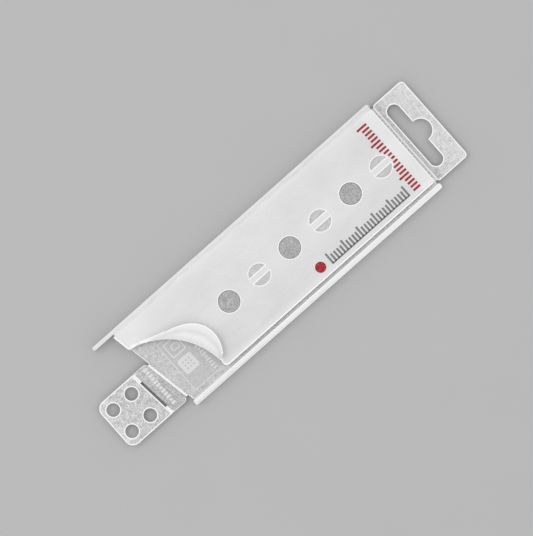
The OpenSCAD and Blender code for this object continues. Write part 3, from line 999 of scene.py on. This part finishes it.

# %% [markdown]
# ## The carrier card and its tabs
#
# All of these are cut from half-millimetre frosted sheet: grey and a little cloudy, with a highlight
# painted along each cut. One finish serves them with different tones. The hang tab is darker next to
# its perforated line, as painted shade of the guard's end beside it, and lighter towards its outer
# end, so its tone takes a slope along X. Past X -40 mm the card gets painted light against the shade
# of the groove beside the rail.

# %% Sheet finish
def sheet_finish(name, tone, cloud=0.06, speck=0.14, climbs=(), white=0.96, uncut=()):
    """Cloud is how strong the wide blots are, speck how strong the small ones are. Uncut is a range
    in Y where the ends of the sheet run on into the next piece, so they get no painted edge highlight."""
    sheet = Finish(name, 0.48, Specular_IOR_Level=0.4)
    rim = sheet.mark("rim")
    shade = tone + cloud * sheet.grain(1.8, 3.0) + speck * sheet.grain(0.5, 2.0)
    shade = sheet.climb(shade, climbs)
    # A highlight is painted along every cut edge.
    edge_highlight = rim.rise(0.1, 0.6)
    if uncut:
        y, (low, high) = sheet.axis("Y"), uncut
        inside = y.rise((low - 0.4) * MM, low * MM) * y.rise((high + 0.4) * MM, high * MM)
        edge_highlight = edge_highlight * (1.0 - inside)
    sheet.feed("Base Color", sheet.mix(edge_highlight, shade, white))
    sheet.feed("Roughness", 0.48 + 0.16 * sheet.grain(1.5))
    sheet.relief(sheet.grain(0.5, 3.0), 0.014)
    return sheet


# The first climb leaves the hang tab darker within 6 mm of its inner end: painted shade of the guard's
# end beside it.
HANG_CLIMBS = (
    ("X", HANG_LOW.x + 0.5, HANG_LOW.x + 6.0, 0.12),
    ("X", HANG_LOW.x + 7.0, HANG_HIGH.x - 1.0, 0.04),
)
TIE_CLIMBS = (("X", TIE_LOW.x + 7.0, TIE_LOW.x, 0.08),)
NECK_CLIMBS = (("Y", -7.0, 2.0, 0.06),)
# Painted light: past X -40 mm the card is lighter, against the shade of the groove beside the rail.
CARD_PAINTED_LIGHT = (("X", -47.0, -40.0, 0.10),)
FOLDED_Y = (TIE_LOW.y + 1.6, TIE_HIGH.y - 1.4)
CARD_FINISH = sheet_finish(
    "frosted_card", 0.548, cloud=0.05, speck=0.11, climbs=CARD_PAINTED_LIGHT, uncut=FOLDED_Y
)
HANG_FINISH = sheet_finish("frosted_hang_tab", 0.490, speck=0.12, climbs=HANG_CLIMBS)
TIE_FINISH = sheet_finish("frosted_tie_tab", 0.560, cloud=0.08, speck=0.16, climbs=TIE_CLIMBS)
NECK_FINISH = sheet_finish("frosted_neck", 0.455, climbs=NECK_CLIMBS, uncut=FOLDED_Y)
print("sheet finishes made")

# %% [markdown]
# The card fills the guard from the slanted heel end to the perforated line. It is the plainest of
# the cut sheets, so the builder that they all share starts with it.

# %% Card
def sheet_piece(name, outline, holes, finish, slot, body, node, rim_w=0.7):
    draft = Draft()
    add_sheet(draft, outline, holes, CARD_LOW.z, CARD_T, edge_r=0.1, rim_w=rim_w)
    draft.finish(name, [finish], slot, body, node)


card_outline = heel_plate(CARD_LOW, CARD_HIGH)
sheet_piece("card_sheet", card_outline, [], CARD_FINISH, "card_plastic", "card", "carrier_card", 0.5)

# %% [markdown]
# ## Hang tab
#
# The euro slot is one hole: a long slot with half round ends, and a round bump in its middle
# towards the outer end. The outline is walked clockwise, from arc to arc.

# %% Hang tab
EURO_W, EURO_L, EURO_BUMP_R = 6.4, 34.4, 5.1
EURO_MARGIN, BUMP_OFFSET = 2.65, 0.2
euro_x = HANG_LOW.x + EURO_MARGIN + EURO_W / 2
euro_y = (HANG_LOW.y + HANG_HIGH.y) / 2


def euro_hole():
    r = EURO_W / 2
    run = EURO_L / 2 - r
    bump_end = math.degrees(math.acos(-BUMP_OFFSET / EURO_BUMP_R))
    upper = arc(euro_x, euro_y + run, r, 180, 0, 24)
    bump = arc(euro_x + r + BUMP_OFFSET, euro_y, EURO_BUMP_R, bump_end, -bump_end, 32)
    lower = arc(euro_x, euro_y - run, r, 0, -180, 24)
    return upper + bump + lower


hang_outline = plate(HANG_LOW.x, HANG_LOW.y, HANG_HIGH.x, HANG_HIGH.y, [1.4, 2.0, 2.0, 1.4])
hang_holes = [euro_hole()]
sheet_piece("hang_tab_sheet", hang_outline, hang_holes, HANG_FINISH, "card_plastic", "hanger", "hang_tab")

# %% [markdown]
# ## Neck and tie tab
#
# The neck leaves the card along the slanted heel end. The tie tab follows it beyond a second
# slanted line, most of which is a slot, and has four round holes for a cord or cable tie.

# %% Neck and tie tab
TIE_SLANT = math.radians(5.3)
TIE_MID_Y = (TIE_LOW.y + TIE_HIGH.y) / 2
HOLE_R, HOLE_PITCH_X, HOLE_PITCH_Y, HOLE_FROM_END = 3.05, 10.8, 12.6, 10.64


def tie_x(y, gap=0.0):
    """The slanted folding line between neck and tie tab, moved out by gap."""
    return TIE_FOLD.x + (TIE_MID_Y - y) * math.tan(TIE_SLANT) - gap / math.cos(TIE_SLANT)


neck_outline = rounded(
    [(tie_x(TIE_HIGH.y, -SCORE_W / 2), TIE_HIGH.y), (tie_x(TIE_LOW.y, -SCORE_W / 2), TIE_LOW.y),
     (heel_x(TIE_LOW.y, SCORE_W), TIE_LOW.y), (heel_x(TIE_HIGH.y, SCORE_W), TIE_HIGH.y)],
    [0, 0, 2.2, 1.8],
)
sheet_piece("neck_sheet", neck_outline, [], NECK_FINISH, "neck_plastic", "neck", "tab_neck", 0.3)

tie_outline = rounded(
    [(TIE_LOW.x, TIE_HIGH.y), (TIE_LOW.x, TIE_LOW.y),
     (tie_x(TIE_LOW.y, SCORE_W / 2), TIE_LOW.y), (tie_x(TIE_HIGH.y, SCORE_W / 2), TIE_HIGH.y)],
    [4.0, 4.0, 0, 0],
)
holes_x = TIE_LOW.x + HOLE_FROM_END
tie_holes = [
    circle(holes_x + sx * HOLE_PITCH_X / 2, TIE_MID_Y + sy * HOLE_PITCH_Y / 2, HOLE_R, 48)
    for sx in (-1, 1)
    for sy in (-1, 1)
]
sheet_piece("tie_tab_sheet", tie_outline, tie_holes, TIE_FINISH, "card_plastic", "tie", "tie_tab")

# %% [markdown]
# ## Folding lines
#
# A folding line is the same sheet, pressed thin and whitened by the fold. It has to bend when a tab
# folds, and each one is a strip cut across into many narrow rows.

# %% Folding lines
SCORE_ROWS = 10
SCORE_T, SCORE_EDGE_T = 0.24, CARD_T - 0.04
LAP = 0.02


def score_finish(name, tone, white):
    """The mark rim says where the fold has whitened the sheet most."""
    score = Finish(name, 0.5, Specular_IOR_Level=0.35)
    shade = score.mix(score.mark("rim"), tone, white)
    score.feed("Base Color", shade + 0.06 * score.grain(0.7, 2.0) + 0.05 * score.grain(0.3))
    score.relief(score.grain(0.4, 2.0), 0.02)
    return score


def score_section(share):
    """Thickness across the line: full at both sides, pressed thin in the middle."""
    dip = math.sin(math.pi * share) ** 0.6 if 0 < share < 1 else 0.0
    return SCORE_EDGE_T - (SCORE_EDGE_T - SCORE_T) * dip


def fold_points(joint):
    """The two points half a folding line before and after its axis."""
    axis = Vector(joints[joint]["axis"])
    across = Vector((-axis.y, axis.x, 0))
    middle = Vector(joints[joint]["pos_m"])
    return middle - across * (SCORE_W / 2 * MM), middle + across * (SCORE_W / 2 * MM)


def steps_between(low, high, count):
    return [low + (high - low) * k / count for k in range(count + 1)]


def build_score(name, low_edge, high_edge, ys, node, finish, white_at):
    """A strip between low_edge(y) and high_edge(y), for the rows of points at each y in ys.
    White_at is the share of the width at which the fold is whitest."""
    draft = Draft()
    cuts = []
    for y in ys:
        places = [
            (low_edge(y) + (high_edge(y) - low_edge(y)) * share, score_section(share) / 2,
             math.exp(-(3 * (share - white_at)) ** 2))
            for share in steps_between(0, 1, SCORE_ROWS)
        ]
        over = [draft.point(x, y, CARD_MID_Z + h, white) for x, h, white in places]
        under = [draft.point(x, y, CARD_MID_Z - h, white) for x, h, white in places[::-1]]
        cuts.append(over + under)
    draft.strip(cuts)
    piece = draft.finish(name, [finish], "score_plastic", node=node)
    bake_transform(piece)


NECK_FOLD_FINISH = score_finish("whitened_neck_fold", 0.76, 0.95)
TIE_FOLD_FINISH = score_finish("whitened_tie_fold", 0.74, 0.95)


build_score(
    "neck_folding_line",
    lambda y: heel_x(y, SCORE_W - LAP), lambda y: heel_x(y, LAP),
    steps_between(TIE_LOW.y + 1.5, TIE_HIGH.y - 1.3, 40), "neck_score", NECK_FOLD_FINISH, 0.3,
)
for end in fold_points("neck_fold"):
    print("the neck fold's blend has an end at", [round(v / MM, 2) for v in end], "mm")

# %% [markdown]
# The second folding line is opened in its middle by a slot, so two short strips are left, one on
# either side of it. Both stand in for the same node.

# %% Tie tab folding line
SLOT_L, SLOT_OFFSET = 15.4, -0.4
for side, name in ((-1, "tie_folding_line_low"), (1, "tie_folding_line_high")):
    near = TIE_MID_Y + SLOT_OFFSET + side * SLOT_L / 2
    far = TIE_MID_Y + side * (TIE_HIGH.y - TIE_LOW.y) / 2
    build_score(
        name,
        lambda y: tie_x(y, SCORE_W / 2 - LAP), lambda y: tie_x(y, LAP - SCORE_W / 2),
        steps_between(near, far - side * 0.04, 10), "tie_tab_score", TIE_FOLD_FINISH, 0.35,
    )

# %% [markdown]
# ## Perforated line
#
# The hang tab tears off along a row of small round holes. The strip with the holes is a sheet like
# the others.

# %% Perforated line
PERFORATION_PITCH, PERFORATION_R, PERFORATED_T = 1.95, 0.22, 0.32
PERFORATED_END = 0.9
perf_low, perf_high = reach("hang_tab_perforation")
perf_mid_y = (perf_low.y + perf_high.y) / 2
perf_count = int((perf_high.y - perf_low.y) / PERFORATION_PITCH)
perf_x = (perf_low.x + perf_high.x) / 2
perf_holes = [
    circle(perf_x, perf_mid_y + (i - (perf_count - 1) / 2) * PERFORATION_PITCH, PERFORATION_R, 16)
    for i in range(perf_count)
]
perf_outline = plate(
    CARD_HIGH.x - LAP, HANG_LOW.y + PERFORATED_END,
    HANG_LOW.x + LAP, HANG_HIGH.y - PERFORATED_END, [0] * 4,
)
draft = Draft()
perf_z = CARD_MID_Z - PERFORATED_T / 2
add_sheet(draft, perf_outline, perf_holes, perf_z, PERFORATED_T, edge_r=0.04, rim_w=0.07)
# Here the rim mark comes from the sheet builder, so this finish paints a highlight along the strip's
# edges and round its holes.
PERFORATED_FINISH = score_finish("whitened_perforation", 0.72, 0.80)
perforated = draft.finish(
    "perforated_line", [PERFORATED_FINISH], "score_plastic", node="hang_tab_perforation"
)
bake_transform(perforated)
print("perforated line:", perf_count, "holes")

# %% [markdown]
# ## Leaf hinge
#
# The front leaf opens like a book cover, through almost half a turn, on a thin web along the spine
# strip. The web sits in a shallow groove.

# %% Leaf hinge
def hinge_finish():
    web = Finish("hinge_web", 0.45, Specular_IOR_Level=0.35)
    web.feed("Base Color", 0.74 + 0.05 * web.grain(1.5, 2.0, (0.2, 1.0, 1.0)))
    web.relief(web.grain(0.6), 0.01)
    return web


WEB_T = 0.3


def build_hinge():
    web_low, web_high = reach("leaf_hinge_web")
    draft = Draft()
    cuts = []
    for x in steps_between(web_low.x, FRONT_END - 0.3, 30):
        ys = steps_between(FRONT_HI_Y - 0.12, SPINE_LOW.y + 0.08, 14)
        over = [draft.point(x, y, web_high.z) for y in ys]
        under = [draft.point(x, y, web_high.z - WEB_T) for y in ys[::-1]]
        cuts.append(over + under)
    draft.strip(cuts)
    web = draft.finish("leaf_hinge", [hinge_finish()], "leaf_plastic", node="leaf_hinge_web")
    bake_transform(web)


build_hinge()

# %% [markdown]
# ## Magnets
#
# The discs stay as the frame has them, since their shape is right. They are plated and dull, with a
# cloudy, slightly scuffed face, so the finish is mostly metal with a broad gloss.

# %% Magnet finish
def magnet_finish():
    metal = Finish("dull_magnet", 0.5, Metallic=0.6, Specular_IOR_Level=0.3)
    blots = metal.grain(1.6, 3.0)
    scuffs = metal.grain(0.5, 3.0, (1.0, 0.5, 1.0))
    metal.feed("Base Color", 0.380 + 0.03 * blots + 0.09 * scuffs)
    metal.feed("Roughness", 0.5 + 0.15 * blots)
    metal.relief(blots + scuffs, 0.02)
    return metal


MAGNET_FINISH = magnet_finish()
for name in sorted(nodes):
    if "magnet" in name:
        nodes[name].data.materials.clear()
        nodes[name].data.materials.append(MAGNET_FINISH.material)
print("magnets dressed:", sum("magnet" in name for name in nodes))

# %% [markdown]
# ## Print
#
# Ink is a film, so each mark is a very thin sheet that stands a little out of the surface. The
# card carries a darker label field with a light border line, two plain framed squares and a column
# of short light bars. The neck has a column of bars as well. The front leaf has a plain grey
# graduation with a red dot and a column of red bars. None of the marks is a letter.

# %% Ink
def ink_finish(name, colour):
    ink = Finish(name, 0.5, Specular_IOR_Level=0.12)
    wear = ink.grain(0.5, 3.0)
    tint = ink.node(
        "ShaderNodeMix", {"data_type": "RGBA"},
        {"Factor": (wear + 0.4) * 0.08, 6: (*colour, 1), 7: (0.75, 0.75, 0.75, 1)}, 2,
    )
    ink.feed("Base Color", tint)
    ink.relief(wear, 0.01)
    return ink


def bar(x, y, w, h, r=0.15):
    """A plain mark: a rectangle with round corners, centred on x, y."""
    r = min(r, w / 2.2, h / 2.2)
    return plate(x - w / 2, y - h / 2, x + w / 2, y + h / 2, [r] * 4, 3)


def print_marks(name, marks, surface_z, finish, slot, body, film=0.03):
    """Each mark is (outline, holes). The film starts a little inside the surface."""
    draft = Draft()
    for outline, holes in marks:
        add_sheet(draft, outline, holes, surface_z - 0.01, film + 0.01, edge_r=0.005, rim_w=0.02)
    draft.finish(name, [finish], slot, body)


print("ink tools ready")

# %% [markdown]
# The label field is one wide mark, and the light marks lie on top of it, so their film starts at its
# height. A framed square is a mark with a smaller one cut out of it, which needs no line tool.

# %% Label on the card
LABEL_FINISH = sheet_finish("label_field", 0.518, cloud=0.02, speck=0.06, white=0.60)
LIGHT_INK = ink_finish("light_ink", (0.70, 0.70, 0.70))
NECK_INK = ink_finish("neck_ink", (0.72, 0.72, 0.72))
card_top = CARD_HIGH.z
LABEL_FILM, LABEL_R = 0.02, 0.6
label_place = (
    (LABEL_FROM_X + LABEL_TO_X) / 2, (LABEL_LO_Y + LABEL_HI_Y) / 2,
    LABEL_TO_X - LABEL_FROM_X, LABEL_HI_Y - LABEL_LO_Y,
)
label = [(bar(*label_place, LABEL_R), [])]
print_marks("card_label_field", label, card_top, LABEL_FINISH, "card_plastic", "card", LABEL_FILM)


def frame_mark(x, y, w, h, line, r):
    """A framed square: a round-cornered mark with a smaller one cut out of it."""
    return (bar(x, y, w, h, r), [bar(x, y, w - 2 * line, h - 2 * line, max(0.1, r - line))[::-1]])


BORDER_W = 0.35
border = frame_mark(*label_place, BORDER_W, LABEL_R)
SQUARE_X, SQUARE_W = -55.1, 7.6
FRAMED_Y, FILLED_Y = 1.1, -8.4
framed = [
    frame_mark(SQUARE_X, FRAMED_Y, SQUARE_W, SQUARE_W, 0.55, 0.7),
    frame_mark(SQUARE_X + 0.5, FRAMED_Y, 4.2, 3.0, 0.5, 0.9),
]
filled_holes = [
    circle(SQUARE_X + dx * 1.7, FILLED_Y + dy * 1.7, 0.45, 20) for dx in (-1, 0, 1) for dy in (-1, 0, 1)
]
filled = [(bar(SQUARE_X, FILLED_Y, SQUARE_W, SQUARE_W, 1.0), filled_holes)]
TEXT_X, TEXT_TOP_Y, TEXT_PITCH = -47.2, -5.2, 1.55
TEXT_WIDTHS = [2.4, 1.6, 2.2, 2.5, 1.4, 2.3, 2.0, 2.5, 1.8]
column = [
    (bar(TEXT_X, TEXT_TOP_Y - i * TEXT_PITCH, w, 0.8), []) for i, w in enumerate(TEXT_WIDTHS)
]
card_marks = [border] + framed + filled + column
print_marks("card_print", card_marks, card_top + LABEL_FILM, LIGHT_INK, "card_plastic", "card")

# %% [markdown]
# The neck has one column of short bars, close together and of uneven width.

# %% Neck print
NECK_TEXT_WIDTHS = [2.2, 1.9, 2.2, 1.7, 2.2, 2.1, 1.6, 2.2, 1.9, 2.2, 1.4, 2.0]
NECK_TEXT_X, NECK_PITCH = -71.6, 1.72
neck_marks = [
    (bar(NECK_TEXT_X, TIE_HIGH.y - 2.2 - i * NECK_PITCH, w, 1.2, 0.12), [])
    for i, w in enumerate(NECK_TEXT_WIDTHS)
]
print_marks("neck_print", neck_marks, card_top, NECK_INK, "neck_plastic", "neck")

# %% [markdown]
# The grey graduation is a base line with ticks, of which every fifth is long. The red bars run down
# the far end of the leaf. A bar that would touch the ring of the last window is made shorter, so the
# ink never crosses a raised edge.

# %% Print on the front leaf
GREY_INK = ink_finish("grey_ink", (0.19, 0.19, 0.20))
RED_INK = ink_finish("red_ink", (0.35, 0.006, 0.020))
SCALE_FROM_X, SCALE_TO_X, SCALE_Y = 22.5, 67.5, -17.9
LONG_EACH = 5
TICK_PITCH, TICK_W = 1.8, 0.95
LONG_TICK, SHORT_TICK = 5.4, 3.9
scale_l = SCALE_TO_X - SCALE_FROM_X
scale_marks = [(bar(SCALE_FROM_X + scale_l / 2, SCALE_Y, scale_l + TICK_W, 0.7), [])]
for i in range(round(scale_l / TICK_PITCH) + 1):
    tall = LONG_TICK if i % LONG_EACH == 0 else SHORT_TICK
    scale_marks.append((bar(SCALE_FROM_X + i * TICK_PITCH, SCALE_Y + tall / 2, TICK_W, tall, 0.1), []))
print_marks("leaf_print_grey", scale_marks, FRONT_TOP, GREY_INK, "leaf_plastic", "cover")

RED_X, RED_TOP_Y, RED_PITCH, RED_COUNT = 71.6, 18.6, 1.9, 20
LONG_RED, SHORT_RED = 2.7, 1.2
CLEAR_OF_RING = 0.4
red_marks = [(circle(17.0, -15.6, 2.5, 40)[::-1], [])]
last_x, last_y = max(windows)
for i in range(RED_COUNT):
    y = RED_TOP_Y - i * RED_PITCH
    inside = (WINDOW_R + RING_W + CLEAR_OF_RING) ** 2 - (y - last_y) ** 2
    free_x = last_x + math.sqrt(inside) if inside > 0 else 0.0
    left = max(free_x, RED_X - (LONG_RED if i % LONG_EACH == 0 else SHORT_RED))
    right = RED_X + LONG_RED
    red_marks.append((bar((left + right) / 2, y, right - left, 1.0), []))
print_marks("leaf_print_red", red_marks, FRONT_TOP, RED_INK, "leaf_plastic", "cover")

# %% [markdown]
# ## Measure and finish
#
# The box of the frame is printed. The dressed model has to stay in the box of the
# frame.

# %% Finish
print("cad box", [[round(v / MM, 2) for v in c] for c in cad_box])
